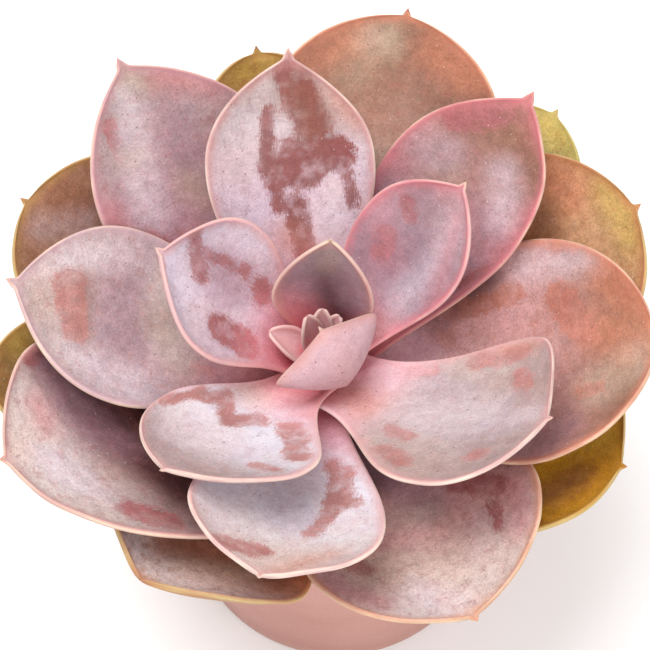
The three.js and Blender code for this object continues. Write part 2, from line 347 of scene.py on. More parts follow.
def rib_points(leaf, s):
    azimuth = math.radians(leaf["azimuth"])
    start = np.array([
        STEM["x"] + leaf["start"] * math.cos(azimuth),
        STEM["y"] + leaf["start"] * math.sin(azimuth),
        leaf["height"],
    ])
    middles = (np.arange(RIB_STEPS) + 0.5) / RIB_STEPS
    steps = rib_direction(leaf, middles) * leaf["length"] / RIB_STEPS
    walked = np.vstack([[0, 0, 0], np.cumsum(steps, axis=0)])
    shares = np.linspace(0, 1, RIB_STEPS + 1)
    return start + np.stack([np.interp(s, shares, walked[:, k]) for k in range(3)], -1)


def section_frame(leaf, s):
    """The directions along, across and up at each share of the rib."""
    forward = rib_direction(leaf, s)
    heading = np.radians(leaf["azimuth"] + leaf["turn"] * s)
    level = np.stack([-np.sin(heading), np.cos(heading), np.zeros_like(heading)], -1)
    upright = np.cross(forward, level)
    roll = math.radians(leaf["roll"])
    side = level * math.cos(roll) + upright * math.sin(roll)
    return forward, side, np.cross(forward, side)


def ripple(leaf, arc, along):
    """The blade's slight unevenness: long soft waves that differ from leaf to leaf."""
    draw = np.random.default_rng(SEED + leaf["number"])
    height = np.zeros(arc.shape)
    for _ in range(5):
        heading, phase = draw.uniform(0, 2 * math.pi, 2)
        run = (arc * math.cos(heading) + along * math.sin(heading)) / draw.uniform(13, 32)
        height += np.sin(2 * math.pi * run + phase) / 5
    return leaf["ripple"] * height * smoothstep(0.05, 0.3, along / leaf["length"])


def leaf_shape(leaf):
    """The rings of a leaf's closed cross-sections and what the material needs to know of each point.
    v is 1 on the left margin and -1 on the right one, and under is 1 on the lower face."""
    s = 1 - (1 - np.arange(ROWS) / ROWS) ** 1.5
    half = half_width(leaf, s)
    fullness = 0.75 + 0.25 * np.sin(np.pi * np.minimum(s * 1.3, 1))
    thick = np.minimum(leaf["thick"] * fullness * (1 - 0.75 * s**3), 1.6 * half + 0.02)
    edge = np.minimum(leaf["edge"], 1.2 * half + 0.01)

    across = np.cos(np.pi * np.arange(COLUMNS) / (COLUMNS - 1))  # 1 to -1
    turns = np.pi / 2 - np.pi * (np.arange(MARGIN_POINTS) + 1) / (MARGIN_POINTS + 1)
    flat, inset = (half - edge / 2)[:, None], (edge / 2)[:, None]
    upper_a = flat * across
    upper_d = BEAD * np.exp(-(((flat - np.abs(upper_a)) / 0.9) ** 2)) * np.minimum(half / 4, 1)[:, None]
    right_a, right_d = -flat - inset * np.cos(turns), -inset + inset * np.sin(turns)
    lower_a = flat * across[::-1]
    belly = 1 - np.abs(across[::-1]) ** leaf["keel"]
    lower_d = -edge[:, None] - (thick - edge)[:, None] * belly
    left_a, left_d = flat + inset * np.cos(turns[::-1]), -inset + inset * np.sin(turns[::-1])
    arc = np.hstack([upper_a, right_a, lower_a, left_a])
    depth = np.hstack([upper_d, right_d, lower_d, left_d])
    along = np.broadcast_to((s * leaf["length"])[:, None], arc.shape)
    depth = depth + ripple(leaf, arc, along)

    forward, side, up = section_frame(leaf, s)
    cup = (np.radians(leaf["cup"]) * (0.75 + 0.25 * s))[:, None]
    v = arc / half[:, None]
    reach = half[:, None] * (1 + leaf["lop"] * v)
    sideways = reach * np.sin(cup * v) / cup - np.sin(cup * v) * depth
    lift = reach * (1 - np.cos(cup * v)) / cup + np.cos(cup * v) * depth
    ahead = leaf["shear"] * v * half[:, None] * np.sin(np.pi * s)[:, None]
    points = rib_points(leaf, s)[:, None] + side[:, None] * sideways[..., None]
    points += up[:, None] * lift[..., None] + forward[:, None] * ahead[..., None]

    under = np.zeros(arc.shape)
    under[:, COLUMNS + MARGIN_POINTS:2 * COLUMNS + MARGIN_POINTS] = 1
    half_turn = np.arange(1, MARGIN_POINTS + 1) / (MARGIN_POINTS + 1)
    under[:, COLUMNS:COLUMNS + MARGIN_POINTS] = half_turn
    under[:, 2 * COLUMNS + MARGIN_POINTS:] = half_turn[::-1]
    shape = {"points": points, "s": s, "v": v, "arc": arc, "along": along, "half": half, "under": under}
    return {**shape, "up": up, "tip_drop": np.zeros(3)}


def leaf_faces(rows, around):
    """Quads between the rings, a fan over the base and a fan to the tip."""
    faces = []
    for i in range(rows - 1):
        for j in range(around):
            a, b = i * around + j, i * around + (j + 1) % around
            faces.append((a, b, b + around, a + around))
    base, tip = rows * around, rows * around + 1
    last = (rows - 1) * around
    for j in range(around):
        k = (j + 1) % around
        faces.append((base, k, j))
        faces.append((last + j, last + k, tip))
    return faces


def leaf_mesh(leaf, shape):
    """All points of a closed leaf, with the middle of its base and its tip last, and its faces."""
    rows, around = shape["arc"].shape
    ends = [shape["points"][0].mean(0), rib_points(leaf, np.array([1.0]))[0] - shape["tip_drop"]]
    return np.vstack([shape["points"].reshape(-1, 3), ends]), leaf_faces(rows, around)


def spread(field, steps, widest):
    """Each value becomes the largest or the mean of itself and its neighbours, a few times over."""
    for _ in range(steps):
        for axis in (0, 1):
            padded = np.pad(field, [(1, 1) if k == axis else (0, 0) for k in (0, 1)], mode="edge")
            trio = [np.take(padded, np.arange(field.shape[axis]) + k, axis) for k in range(3)]
            field = np.max(trio, 0) if widest else np.mean(trio, 0)
    return field


def bend_clear(shape, trees):
    """Bends a leaf down where it would sit in one of the leaves above it."""
    push = np.zeros((ROWS, COLUMNS))
    for i in range(0, ROWS, 2):
        if shape["s"][i] < 0.1:
            continue
        up = Vector(shape["up"][i])
        for j in range(0, COLUMNS, 2):
            start = Vector(shape["points"][i, j]) - up * REACH
            for tree in trees:
                distance = tree.ray_cast(start, up, 2 * REACH)[3]
                if distance is not None:
                    push[i, j] = max(push[i, j], CLEARANCE + REACH - distance)
    push = spread(spread(push, 3, True), 4, False) * smoothstep(0.1, 0.28, shape["s"])[:, None]
    right, left = push[:, -1:].repeat(MARGIN_POINTS, 1), push[:, :1].repeat(MARGIN_POINTS, 1)
    drop = np.hstack([push, right, push[:, ::-1], left])[..., None] * shape["up"][:, None]
    shape["points"] -= drop
    shape["tip_drop"] = drop[-1].mean(0)


def make_shapes():
    """Every large leaf's shape, by number, settled from the highest to the lowest."""
    shapes, trees = {}, []
    for number in range(len(LEAVES), 0, -1):
        leaf = leaf_from(LEAVES[number - 1], number)
        shape = leaf_shape(leaf)
        bend_clear(shape, trees)
        points, faces = leaf_mesh(leaf, shape)
        trees.append(BVHTree.FromPolygons(points.tolist(), faces))
        shapes[number] = shape
    return shapes


def rim_distance(leaf, shape):
    """How far each point is from the leaf's outline, in millimetres, measured on the flat leaf."""
    along = shape["s"] * leaf["length"]
    outline = np.concatenate([
        np.stack([shape["half"], along], -1),
        [[0.0, leaf["length"]]],
        np.stack([-shape["half"], along], -1)[::-1],
    ])
    places = np.stack([shape["arc"], shape["along"]], -1).reshape(-1, 2)
    starts, run = outline[:-1], np.diff(outline, axis=0)
    best = np.full(len(places), 1e9)
    for start, step in zip(starts, run):
        share = np.clip(((places - start) @ step) / max(step @ step, 1e-9), 0, 1)
        best = np.minimum(best, np.linalg.norm(places - start - share[:, None] * step, axis=1))
    return best.reshape(shape["arc"].shape)


# ---- Leaf colours ----

SKIN = 0.78  # how much light the skin gives back of the colours named below, as they look in the light

# bloom is the waxy skin and end is the same towards the tip, flesh is what shows where it is rubbed
# off, lip and margin are the inner and the outer side of the rounded edge, and band lies inside it.
# base is the colour near the base, and crease the darker one at the very base: partly the leaf's own
# red, partly painted shade where the leaves crowd together.
PALETTES = {
    "outer": dict(
        bloom=(160, 122, 62), flesh=(160, 98, 56), base=(104, 58, 42), crease_red_and_shade=(92, 42, 36),
        back=(176, 140, 92), band=(190, 142, 78), lip=(204, 168, 102), margin=(224, 204, 142),
        tip=(190, 130, 90),
    ),
    "middle": dict(
        bloom=(184, 148, 152), flesh=(190, 116, 104), base=(178, 108, 112), crease_red_and_shade=(140, 54, 64),
        back=(198, 160, 160), band=(214, 150, 146), lip=(232, 176, 164), margin=(244, 216, 190),
        tip=(230, 180, 140),
    ),
    "inner": dict(
        bloom=(204, 182, 194), flesh=(204, 124, 116), base=(232, 146, 156), crease_red_and_shade=(200, 60, 80),
        back=(216, 196, 206), band=(226, 168, 166), lip=(240, 192, 180), margin=(252, 232, 214),
        tip=(250, 220, 190),
    ),
    "heart": dict(
        bloom=(156, 116, 130), flesh=(132, 62, 66), base=(206, 64, 84), crease_red_and_shade=(190, 50, 68),
        back=(226, 212, 220), band=(212, 150, 140), lip=(216, 168, 152), margin=(230, 202, 186),
        tip=(236, 222, 190),
    ),
    "bud": dict(
        bloom=(250, 200, 206), flesh=(236, 150, 152), base=(244, 120, 132), crease_red_and_shade=(206, 60, 80),
        back=(236, 196, 200), band=(234, 172, 172), lip=(240, 190, 186), margin=(250, 224, 212),
        tip=(250, 220, 206),
    ),
}

# The plant's colours by name, as they look in the light.
PIGMENTS = {
    "olive": (140, 105, 52), "khaki": (175, 135, 70), "lime": (190, 175, 85), "sand": (200, 185, 108),
    "hazel": (160, 115, 88), "ochre": (195, 140, 10), "brass": (200, 145, 40), "bronze": (125, 80, 28),
    "amber": (228, 140, 90), "cocoa": (92, 46, 34), "caramel": (195, 125, 80), "apricot": (218, 146, 106),
    "tan": (185, 140, 98), "fawn": (192, 150, 136), "umber": (145, 102, 80), "plum": (92, 42, 46),
    "copper": (222, 142, 112), "peach": (238, 180, 148), "cream": (244, 214, 176),
    "dusty_rose": (203, 153, 151), "heather": (172, 128, 138), "mauve_grey": (155, 128, 140),
    "ash": (176, 153, 150), "ash_pink": (193, 173, 169), "ash_rose": (183, 160, 167),
    "shell": (214, 197, 192), "lilac": (207, 184, 196), "lavender": (218, 204, 220),
    "frost": (234, 230, 240), "petal": (250, 205, 216), "pale_rose": (212, 174, 181),
    "pale_salmon": (240, 196, 188), "blush": (248, 172, 178), "rose_pink": (218, 148, 160),
    "orchid": (208, 150, 158), "shrimp": (231, 174, 164), "salmon": (237, 156, 150),
    "coral": (222, 128, 137), "clay_rose": (206, 146, 142), "crimson": (205, 56, 78),
    "tea_rose": (190, 134, 129), "rust": (182, 113, 95), "brick": (168, 99, 100), "redwood": (136, 66, 62),
    # maroon is a leaf base's red darkened with painted shade, for bases in the shadow of the leaves above.
    "wine": (122, 70, 65), "maroon_and_shade": (84, 24, 24),
}

# Where one leaf's colours differ from those of its ring.
OWN_COLOURS = {
    1: dict(bloom="olive", end="olive"),
    2: dict(bloom="khaki", tip="plum"),
    3: dict(bloom="lime", end="sand", band="sand", lip="sand"),
    4: dict(bloom="hazel", end="hazel"),
    5: dict(bloom="ochre", end="ochre", band="brass", base="bronze"),
    6: dict(bloom="amber", end="shell", base="cocoa", band="caramel"),
    7: dict(bloom="apricot", end="tan", band="caramel"),
    8: dict(bloom="fawn", end="umber", flesh="rust", band="copper", lip="peach", margin="cream",
            tip="plum"),
    # Leaves 9 and 11 have dark maroon bases: their red with painted shade from the leaves above.
    9: dict(bloom="dusty_rose", end="shell", base="maroon_and_shade", flesh="brick", band="apricot", margin="cream"),
    # Leaf 10's pale base is painted lighter than its own pink: painted light where the leaves above shade
    # it.
    10: dict(bloom="dusty_rose", end="umber", base="petal", flesh="rust", band="copper", margin="cream"),
    11: dict(bloom="wine", end="shell", base="maroon_and_shade", flesh="brick", band="clay_rose", lip="shrimp"),
    12: dict(bloom="heather", end="ash", flesh="brick", band="orchid", lip="shrimp"),
    13: dict(bloom="heather", end="umber", base="coral", flesh="brick", band="coral",
             lip="salmon", tip="cream"),
    14: dict(bloom="ash_rose", end="ash_pink", base="blush", flesh="tea_rose", band="pale_rose",
             lip="pale_salmon"),
    15: dict(bloom="frost", end="shell", base="rose_pink", flesh="tea_rose"),
    16: dict(bloom="lilac", end="ash_pink", flesh="redwood", band="clay_rose", lip="pale_salmon"),
    17: dict(bloom="ash_pink", end="ash", base="petal", flesh="tea_rose"),
    18: dict(bloom="frost", end="ash", base="blush", flesh="tea_rose"),
    19: dict(bloom="mauve_grey", end="ash_rose", base="blush", flesh="brick", band="coral",
             lip="salmon", margin="pale_salmon"),
    20: dict(bloom="lilac", end="lavender", base="coral", flesh="brick", lip="salmon",
             margin="pale_salmon"),
    21: dict(bloom="heather", end="ash_rose", base="crimson"),
    22: dict(base="coral", crease_red_and_shade="crimson", back="pale_rose"),
}

# What the patches on the upper faces are tinted, and how strongly. rub is where the bloom has been
# wiped off and the flesh shows. The dark maroon tint is painted shade, and the mauve one is partly the
# leaves' own mauve and partly painted shade.
TINTS = {
    "wax": ((224, 210, 220), 0.42),
    "grey": ((190, 174, 182), 0.42),
    # The mauve tint is partly the leaves' own mauve and partly painted shade where the leaves above shadow
    # them.
    "mauve_and_shade": ((146, 112, 124), 0.55),
    "rose": ((204, 120, 126), 0.5),
    "orange": ((210, 132, 100), 0.5),
    "cream": ((212, 194, 174), 0.4),
    "olive": ((176, 152, 126), 0.42),
    "yellow": ((196, 170, 66), 0.45),
    "brown": ((134, 84, 56), 0.68),
    # A dark maroon tint: painted shade where the leaves above cast their shadow.
    "painted_shade": ((70, 22, 22), 0.92),
}

# Patches on the leaves, by leaf number and kind. Each is a thick line between two places on the blade.
# A place is how far it is along the leaf and how far to the side, in percent of the length and of the
# half width (100 is the left margin). The fifth number is half the thickness in millimetres. The dark
# maroon patches are painted shade where the leaves above shadow a leaf.
PATCHES = {
    1: dict(yellow=[(90, -90, 90, -80, 2.5)]),
    2: dict(yellow=[(95, 50, 95, -40, 2.5)]),
    3: dict(yellow=[(95, 0, 95, -60, 2.5)]),
    4: dict(brown=[(90, -40, 80, -30, 3.5)], grey=[(90, 20, 80, -20, 2)]),
    5: dict(yellow=[(80, 30, 90, 40, 4)], brown=[(80, -40, 85, -20, 2.5)]),
    6: dict(brown=[(75, -10, 60, 70, 3)], orange=[(80, -10, 65, 20, 2)], cream=[(80, 10, 65, 50, 2)]),
    7: dict(orange=[(80, 80, 85, 50, 4)], yellow=[(95, 60, 95, -50, 4)], brown=[(75, 40, 75, 20, 2)]),
    8: dict(
        olive=[(80, 40, 90, 30, 5)],
        orange=[(90, -50, 85, -80, 4), (80, 80, 90, 60, 3)],
        cream=[(90, 40, 90, 20, 2), (60, 0, 55, -10, 2.5)],
    ),
    9: dict(
        painted_shade=[(10, 0, 30, 10, 6), (30, 80, 40, 90, 5), (30, -90, 40, -90, 3)],
        rub=[(50, 50, 60, 70, 2), (65, 60, 75, 60, 0.8), (60, -60, 65, -50, 1.5)],
        mauve_and_shade=[(25, 20, 50, 20, 5)],
        cream=[(65, -50, 75, 0, 5), (50, -10, 55, 20, 2)],
        rose=[(70, -90, 80, -70, 2), (65, 80, 80, 80, 2)],
        wax=[(80, -30, 90, -10, 2.5)],
    ),
    10: dict(
        painted_shade=[(30, 90, 45, 90, 4)],
        rub=[(35, 70, 55, 60, 2), (70, 50, 75, 20, 3), (70, 90, 75, 90, 1.5),
             (30, 60, 35, 40, 2), (75, -40, 80, -40, 1)],
        wax=[(60, 80, 80, 90, 2.5)],
        orange=[(85, 80, 95, 60, 4), (80, 20, 90, 0, 4)],
        cream=[(80, -40, 90, -30, 4.5)],
        mauve_and_shade=[(55, -90, 70, -70, 3)],
    ),
    11: dict(
        painted_shade=[(70, -90, 65, -40, 3), (65, -40, 55, 50, 5), (40, -50, 40, 60, 9)],
        rub=[(75, 70, 70, 80, 2.5), (75, -90, 70, -90, 1.5)],
        mauve_and_shade=[(70, -70, 65, 0, 5)],
        wax=[(85, 10, 80, 50, 3)],
        rose=[(80, -50, 80, -30, 2)],
    ),
    12: dict(
        painted_shade=[(30, -90, 40, -90, 4)],
        wax=[(90, 30, 85, 20, 2.5), (80, 40, 60, 50, 3.5)],
        mauve_and_shade=[(85, -30, 65, -10, 4)],
        rub=[(85, 70, 80, 60, 1.5), (55, 70, 50, 60, 1.5)],
        olive=[(75, 50, 75, 40, 2), (95, 40, 90, -30, 2.5), (60, 0, 55, -10, 3)],
        rose=[(90, -70, 80, -90, 2), (65, 90, 60, 90, 2)],
    ),
    13: dict(
        rub=[(80, 70, 90, 30, 2), (40, -70, 50, -90, 1)],
        rose=[(80, 90, 90, 90, 1.5), (95, -20, 90, -80, 1.5), (60, 90, 75, 90, 1.5),
              (70, -90, 55, -90, 2)],
        wax=[(75, -30, 65, -60, 3)],
        grey=[(70, 80, 70, 50, 4)],
        olive=[(60, 40, 65, 20, 2)],
    ),
    14: dict(
        rub=[(80, -30, 75, 30, 3), (35, 40, 30, 40, 1)],
        brown=[(76, -30, 72, 30, 1)],
        mauve_and_shade=[(65, -30, 60, 10, 5.5)],
        cream=[(50, -60, 50, -40, 3), (45, 10, 40, 30, 3)],
        olive=[(50, -10, 45, -20, 3)],
        wax=[(75, 70, 55, 70, 3.5), (90, -70, 65, -70, 2.5)],
    ),
    15: dict(
        rub=[(35, 50, 40, 60, 1.5), (40, 60, 55, 50, 2.5), (55, 50, 70, 30, 1.5),
             (50, 60, 55, 70, 1.5), (90, -70, 85, -10, 2)],
        grey=[(50, -20, 65, 10, 4)],
        wax=[(60, 70, 65, 90, 3), (75, -80, 80, -60, 3)],
        orange=[(95, 30, 80, 60, 1)],
    ),
    16: dict(
        rub=[(90, -10, 75, -30, 4), (65, -10, 65, -50, 4.5), (60, 10, 60, -20, 3.5),
             (60, -60, 50, -70, 1.5), (80, 30, 65, 30, 1.2), (65, 30, 50, 20, 1.5),
             (50, 0, 35, -10, 2.5)],
        brown=[(85, -20, 75, -30, 3.5)],
        orange=[(40, 10, 35, -20, 2.5), (85, -90, 75, -90, 1)],
        wax=[(75, 10, 75, 10, 1.5), (55, -50, 40, -40, 3), (75, 50, 65, 50, 1.5)],
        grey=[(75, 70, 65, 60, 2.5)],
    ),
    17: dict(
        rub=[(25, 60, 35, 70, 1.5), (75, 50, 80, 40, 2), (50, 80, 70, 80, 2),
             (50, -80, 60, -80, 1.5), (80, -50, 80, -50, 1.5), (40, -50, 50, -50, 1.5)],
        orange=[(60, 90, 75, 90, 1), (15, -30, 25, -40, 3)],
        wax=[(40, -30, 70, 0, 5), (80, -10, 90, 10, 2)],
        grey=[(40, 30, 55, 30, 3.5)],
    ),
    18: dict(
        rub=[(65, -90, 50, -80, 1.5), (50, -80, 45, -60, 2), (40, -60, 50, -10, 2),
             (50, -10, 40, 10, 2), (35, 60, 55, 80, 2), (70, 60, 70, 80, 1)],
        wax=[(70, -40, 60, 40, 4)],
        cream=[(30, -70, 30, -40, 2)],
    ),
    19: dict(
        rub=[(75, 60, 70, 40, 1.5), (60, 50, 50, 40, 2)],
        wax=[(65, 70, 65, 50, 2), (80, -30, 60, -40, 2), (60, -40, 40, -40, 2.5)],
        rose=[(70, 90, 50, 30, 3), (75, 90, 90, 90, 1.5), (90, 90, 90, 40, 1.5),
              (85, -40, 50, -90, 1.2)],
        mauve_and_shade=[(80, 20, 55, 0, 2.5), (80, 50, 45, 30, 3.5)],
    ),
    20: dict(
        rub=[(85, -70, 70, -10, 1.5), (75, -40, 50, -50, 1.3), (40, -50, 35, -40, 2),
             (50, 40, 35, 50, 3.5)],
        wax=[(75, -70, 60, -80, 3), (80, 10, 65, 50, 2)],
        mauve_and_shade=[(65, -30, 50, -30, 4)],
        grey=[(85, -30, 80, -20, 3)],
    ),
    21: dict(
        painted_shade=[(30, -30, 60, 0, 3)],
        mauve_and_shade=[(60, 50, 80, 30, 3), (50, -40, 70, -10, 3)],
        rose=[(40, 80, 25, 40, 2.5)],
        olive=[(85, 10, 75, 0, 1.5)],
    ),
    22: dict(rose=[(65, -80, 55, -60, 1.5)]),
}

RUB_FADE = 2.2  # millimetres over which the bloom grows thin at a rubbed patch
TINT_FADE = (-5.0, 3.0)  # how far outside and inside its patch a tint begins and is full


def skin(red, green, blue):
    """The reflectance that looks like that colour in this light."""
    linear = srgb(red, green, blue)
    return np.array([SKIN * c for c in linear[:3]] + [1.0])


def patch_depth(leaf, shape, patch):
    """How far inside a patch each point lies, in millimetres. Outside it is negative."""
    *places, thickness = patch
    start, end = (
        np.array([v / 100 * half_width(leaf, np.array([s / 100]))[0], s / 100 * leaf["length"]])
        for s, v in (places[:2], places[2:])
    )
    run = end - start
    offset = np.stack([shape["arc"], shape["along"]], -1) - start
    share = np.clip(offset @ run / max(run @ run, 1e-9), 0, 1)
    return thickness - np.linalg.norm(offset - share[..., None] * run, axis=-1)


def leaf_paint(leaf, shape):
    """The colours of each point of a leaf, painted shade among them, and how far its bloom is rubbed off
    there.
    """
    own = {part: PIGMENTS[name] for part, name in OWN_COLOURS.get(leaf["number"], {}).items()}
    palette = {part: skin(*rgb) for part, rgb in {**PALETTES[leaf["ring"]], **own}.items()}
    s = np.broadcast_to(shape["s"][:, None], shape["arc"].shape)[..., None]
    under = shape["under"][..., None]
    near_base = 1 - smoothstep(0.12, 0.46, s)
    # The very base turns to the crease colour: partly the leaf's own red, partly painted shade.
    crease_red_and_shade = (1 - smoothstep(0.0, 0.2, s)) * 0.9

    def deepened(colour):
        return blend(blend(colour, palette["base"], near_base), palette["crease_red_and_shade"], crease_red_and_shade)

    towards_end = smoothstep(0.5, 0.9, s)
    bloom = deepened(blend(palette["bloom"], palette.get("end", palette["bloom"]), towards_end))
    flesh = deepened(palette["flesh"])
    rub = np.full(shape["arc"].shape, -1.0)
    upper = 1 - smoothstep(0.1, 0.6, shape["under"])
    for kind, patches in PATCHES.get(leaf["number"], {}).items():
        depth = np.max([patch_depth(leaf, shape, patch) for patch in patches], axis=0)
        if kind == "rub":
            rub = np.maximum(rub, np.clip(depth / RUB_FADE + 0.45, -1, 2))
            continue
        # A tint is a colour of the leaf itself, but the dark maroon one is painted shade and the mauve one
        # partly so.
        rgb, strength = TINTS[kind]
        weight = (smoothstep(*TINT_FADE, depth) * strength * upper)[..., None]
        bloom = blend(bloom, skin(*rgb), weight)
        flesh = blend(flesh, skin(*rgb), weight / 2)
        if kind == "wax":
            rub = rub - smoothstep(-1.5, 1.0, depth) * 0.7
    rub = np.where(upper > 0.5, rub, -1.0)
    bloom = blend(bloom, deepened(palette["back"]), under)
    tip = (1 - smoothstep(0.5, 2.6, leaf["length"] - shape["along"]))[..., None]
    margin = blend(palette["lip"], palette["margin"], smoothstep(0.0, 0.4, under))
    margin = blend(blend(margin, palette["tip"], tip), palette["base"], near_base * 0.6)
    band = blend(palette["band"], palette["base"], near_base * 0.5)
    return {"bloom": bloom, "flesh": flesh, "band": band, "margin": margin, "rub": rub}


LEAF_SPACING = 40.0  # how far apart two leaves lie in the noises, so that no two look alike
FACE_SPACING = 17.0  # and the two faces of a leaf


def add_leaf(name, leaf, shape, material):
    rows, around = shape["arc"].shape
    points, faces = leaf_mesh(leaf, shape)
    piece = add_mesh(name, points, faces, material)
    layer = leaf["number"] * LEAF_SPACING + FACE_SPACING * (shape["under"] > 0.5)
    fields = leaf_paint(leaf, shape)
    fields["place"] = np.stack([shape["arc"], shape["along"], layer], -1)
    fields["rim"] = rim_distance(leaf, shape)
    fields["under"] = shape["under"]
    for key, values in fields.items():
        flat = values.reshape(rows * around, *values.shape[2:])
        keep_values(piece, key, np.concatenate([flat, flat[:1], flat[-1:]]))
    return piece


# ---- Materials ----

# How mottled the leaves of each ring are: the young ones are the smoothest.
WEAR = {"outer": 1.0, "middle": 0.8, "inner": 0.5, "heart": 0.3, "bud": 0.25}


def leaf_material(ring):
    """Waxy bloom over coloured flesh: rubbed through in patches with feathered, scratchy borders, and
    with a coloured band and a pale line at the margin, dust, specks and fine strokes."""
    wear = WEAR[ring]
    g = Graph("leaf_" + ring)
    place = g.stored("place", "Vector")
    rim, rub, under = g.stored("rim"), g.stored("rub"), g.stored("under")
    strokes = g.noise(g.stretched(place, (1.0, 0.16, 1.0)), 3.2, 3, 0.6, 0.4)
    crossing = g.noise(g.stretched(place, (0.3, 1.0, 1.0)), 2.2, 3, 0.6, 0.4)
    grain = g.noise(place, 4.2, 3, 0.7)
    blots = g.noise(place, 0.42, 4, 0.6)
    clouds = g.noise(place, 0.075, 4, 0.55, 0.6)

    worn = g.total(rub, g.swing(clouds, 1.6))
    for value, amount in ((blots, 1.8), (strokes, 1.8), (crossing, 0.8), (grain, 1.2)):
        worn = g.total(worn, g.swing(value, amount))
    thin = g.between(g.noise(place, 0.24, 3, 0.55), 0.3, 0.55, 0.55, 0.95)
    mask = g.product(g.between(worn, -0.2, 0.55), thin)

    bloom = g.stored("bloom", "Color")
    drift = g.noise(place, 0.055, 3, 0.5, 0.3)
    bloom = g.glazed(g.between(drift, 0.38, 0.68, 0.0, 0.3), bloom, srgb(255, 228, 210))
    bloom = g.glazed(g.between(clouds, 0.3, 0.56, 0.2, 0.0), bloom, srgb(226, 218, 242))
    flesh = g.stored("flesh", "Color")
    flesh = g.glazed(g.between(drift, 0.42, 0.62, 0.0, 0.5), flesh, srgb(222, 196, 186))
    colour = g.mix(mask, bloom, flesh)

    mottle = g.noise(place, 0.4, 5, 0.72, 0.5)
    mottled = g.between(under, 0.2, 1.0, 0.5 * wear, 0.1)
    reddish = g.product(g.between(mottle, 0.5, 0.66), mottled)
    colour = g.mix(reddish, colour, flesh)
    whitish = g.product(g.between(mottle, 0.34, 0.48, 1.0, 0.0), mottled)
    colour = g.mix(whitish, colour, g.mix(1.0, colour, srgb(44, 42, 43), "ADD"))
    for value, amount in ((blots, 0.3), (g.noise(place, 1.6, 4, 0.7), 0.44), (grain, 0.44)):
        tone = g.mix(g.between(value, 0.25, 0.75), (0.26, 0.24, 0.24, 1), (0.78, 0.78, 0.78, 1))
        share = g.between(under, 0.2, 1.0, amount * (0.4 + 0.6 * wear), amount * 0.35)
        colour = g.mix(share, colour, tone, "OVERLAY")

    dust = g.product(g.between(g.noise(place, 7.0, 2, 0.7), 0.6, 0.72), g.between(blots, 0.45, 0.62))
    dark = g.product(g.specks(place, 0.56, 0.15, 0.6), g.between(clouds, 0.35, 0.6, 0.3, 0.75))
    tiny = g.specks(g.stretched(place, (1.0, 1.1, 1.0)), 1.3, 0.2, 0.4)
    tiny = g.product(tiny, g.between(clouds, 0.4, 0.6, 0.1, 0.5))
    pale = g.specks(g.stretched(place, (1.1, 0.9, 1.0)), 0.62, 0.09, 0.25)
    colour = g.mix(g.product(dust, 0.4), colour, srgb(244, 232, 228))
    colour = g.mix(dark, colour, srgb(112, 62, 66))
    colour = g.mix(tiny, colour, srgb(128, 80, 78))
    colour = g.mix(g.product(pale, 0.5), colour, srgb(250, 240, 236))
    lines = g.noise(g.stretched(place, (1.0, 0.3, 1.0)), 0.22, 2, 0.5, 1.0)
    scratch = g.between(g.maths("ABSOLUTE", g.maths("SUBTRACT", lines, 0.5)), 0.001, 0.004, 1.0, 0.0)
    scratch = g.product(scratch, g.between(clouds, 0.5, 0.6, 0.0, 0.4))
    colour = g.mix(scratch, colour, srgb(136, 84, 84))

    ragged = g.total(rim, g.swing(g.noise(place, 0.32, 4, 0.6), 3.0))
    ragged = g.total(ragged, g.swing(grain, 0.9))
    band = g.between(ragged, -0.4, 3.0, 0.75, 0.0)
    colour = g.mix(band, colour, g.stored("band", "Color"))
    uneven = g.between(g.noise(place, 0.12, 2, 0.5), 0.35, 0.65, 0.25, 0.85)
    line = g.between(g.total(rim, g.swing(blots, 0.3)), 0.0, 0.5)
    line = g.product(g.maths("SUBTRACT", 1.0, line), uneven)
    colour = g.mix(line, colour, g.stored("margin", "Color"))

    roughness = g.between(g.total(mask, g.swing(grain, 0.5)), 0.0, 1.0, 0.6, 0.46)
    arcs = g.noise(g.stretched(place, (0.12, 1.0, 1.0)), 0.55, 3, 0.55, 0.4)
    relief = g.total(g.product(strokes, 0.5), g.product(grain, 0.7))
    normal = g.bump(relief, 0.16, 0.0003)
    normal = g.bump(g.total(blots, arcs), 0.12, 0.0008, normal)
    return g.finish(
        Base_Color=colour, Roughness=roughness, Normal=normal, Specular_IOR_Level=0.34,
        Subsurface_Weight=g.between(under, 0.0, 1.0, 0.2, 0.1), Subsurface_Radius=(1.0, 0.42, 0.34),
        Subsurface_Scale=0.0018, Sheen_Weight=0.08, Sheen_Roughness=0.5,
    )


def soil_material():
    g = Graph("potting_soil")
    place = g.place()
    crumbs = g.noise(place, 0.5, 6, 0.7)
    colour = g.mix(g.between(crumbs, 0.3, 0.7), srgb(34, 24, 18), srgb(98, 74, 54))
    fibres = g.noise(g.stretched(place, (1.0, 0.2, 1.0)), 1.4, 4, 0.7, 1.5)
    colour = g.mix(g.between(fibres, 0.6, 0.68, 0.0, 0.7), colour, srgb(122, 92, 62))
    colour = g.mix(g.specks(place, 0.5, 0.26, 0.16), colour, srgb(168, 156, 140))
    normal = g.bump(crumbs, 0.7, 0.0012)
    return g.finish(Base_Color=colour, Roughness=0.95, Normal=normal, Specular_IOR_Level=0.2)


def grit_material():
    g = Graph("pale_grit")
    place = g.place()
    tone = g.noise(place, 0.12, 2, 0.5)
    colour = g.mix(g.between(tone, 0.4, 0.6), srgb(196, 186, 170), srgb(122, 98, 78))
    pores = g.noise(place, 3.0, 3, 0.7)
    colour = g.mix(g.between(pores, 0.5, 0.7, 0.0, 0.5), colour, srgb(86, 72, 60))
    return g.finish(Base_Color=colour, Roughness=0.9, Normal=g.bump(pores, 0.5, 0.0004))


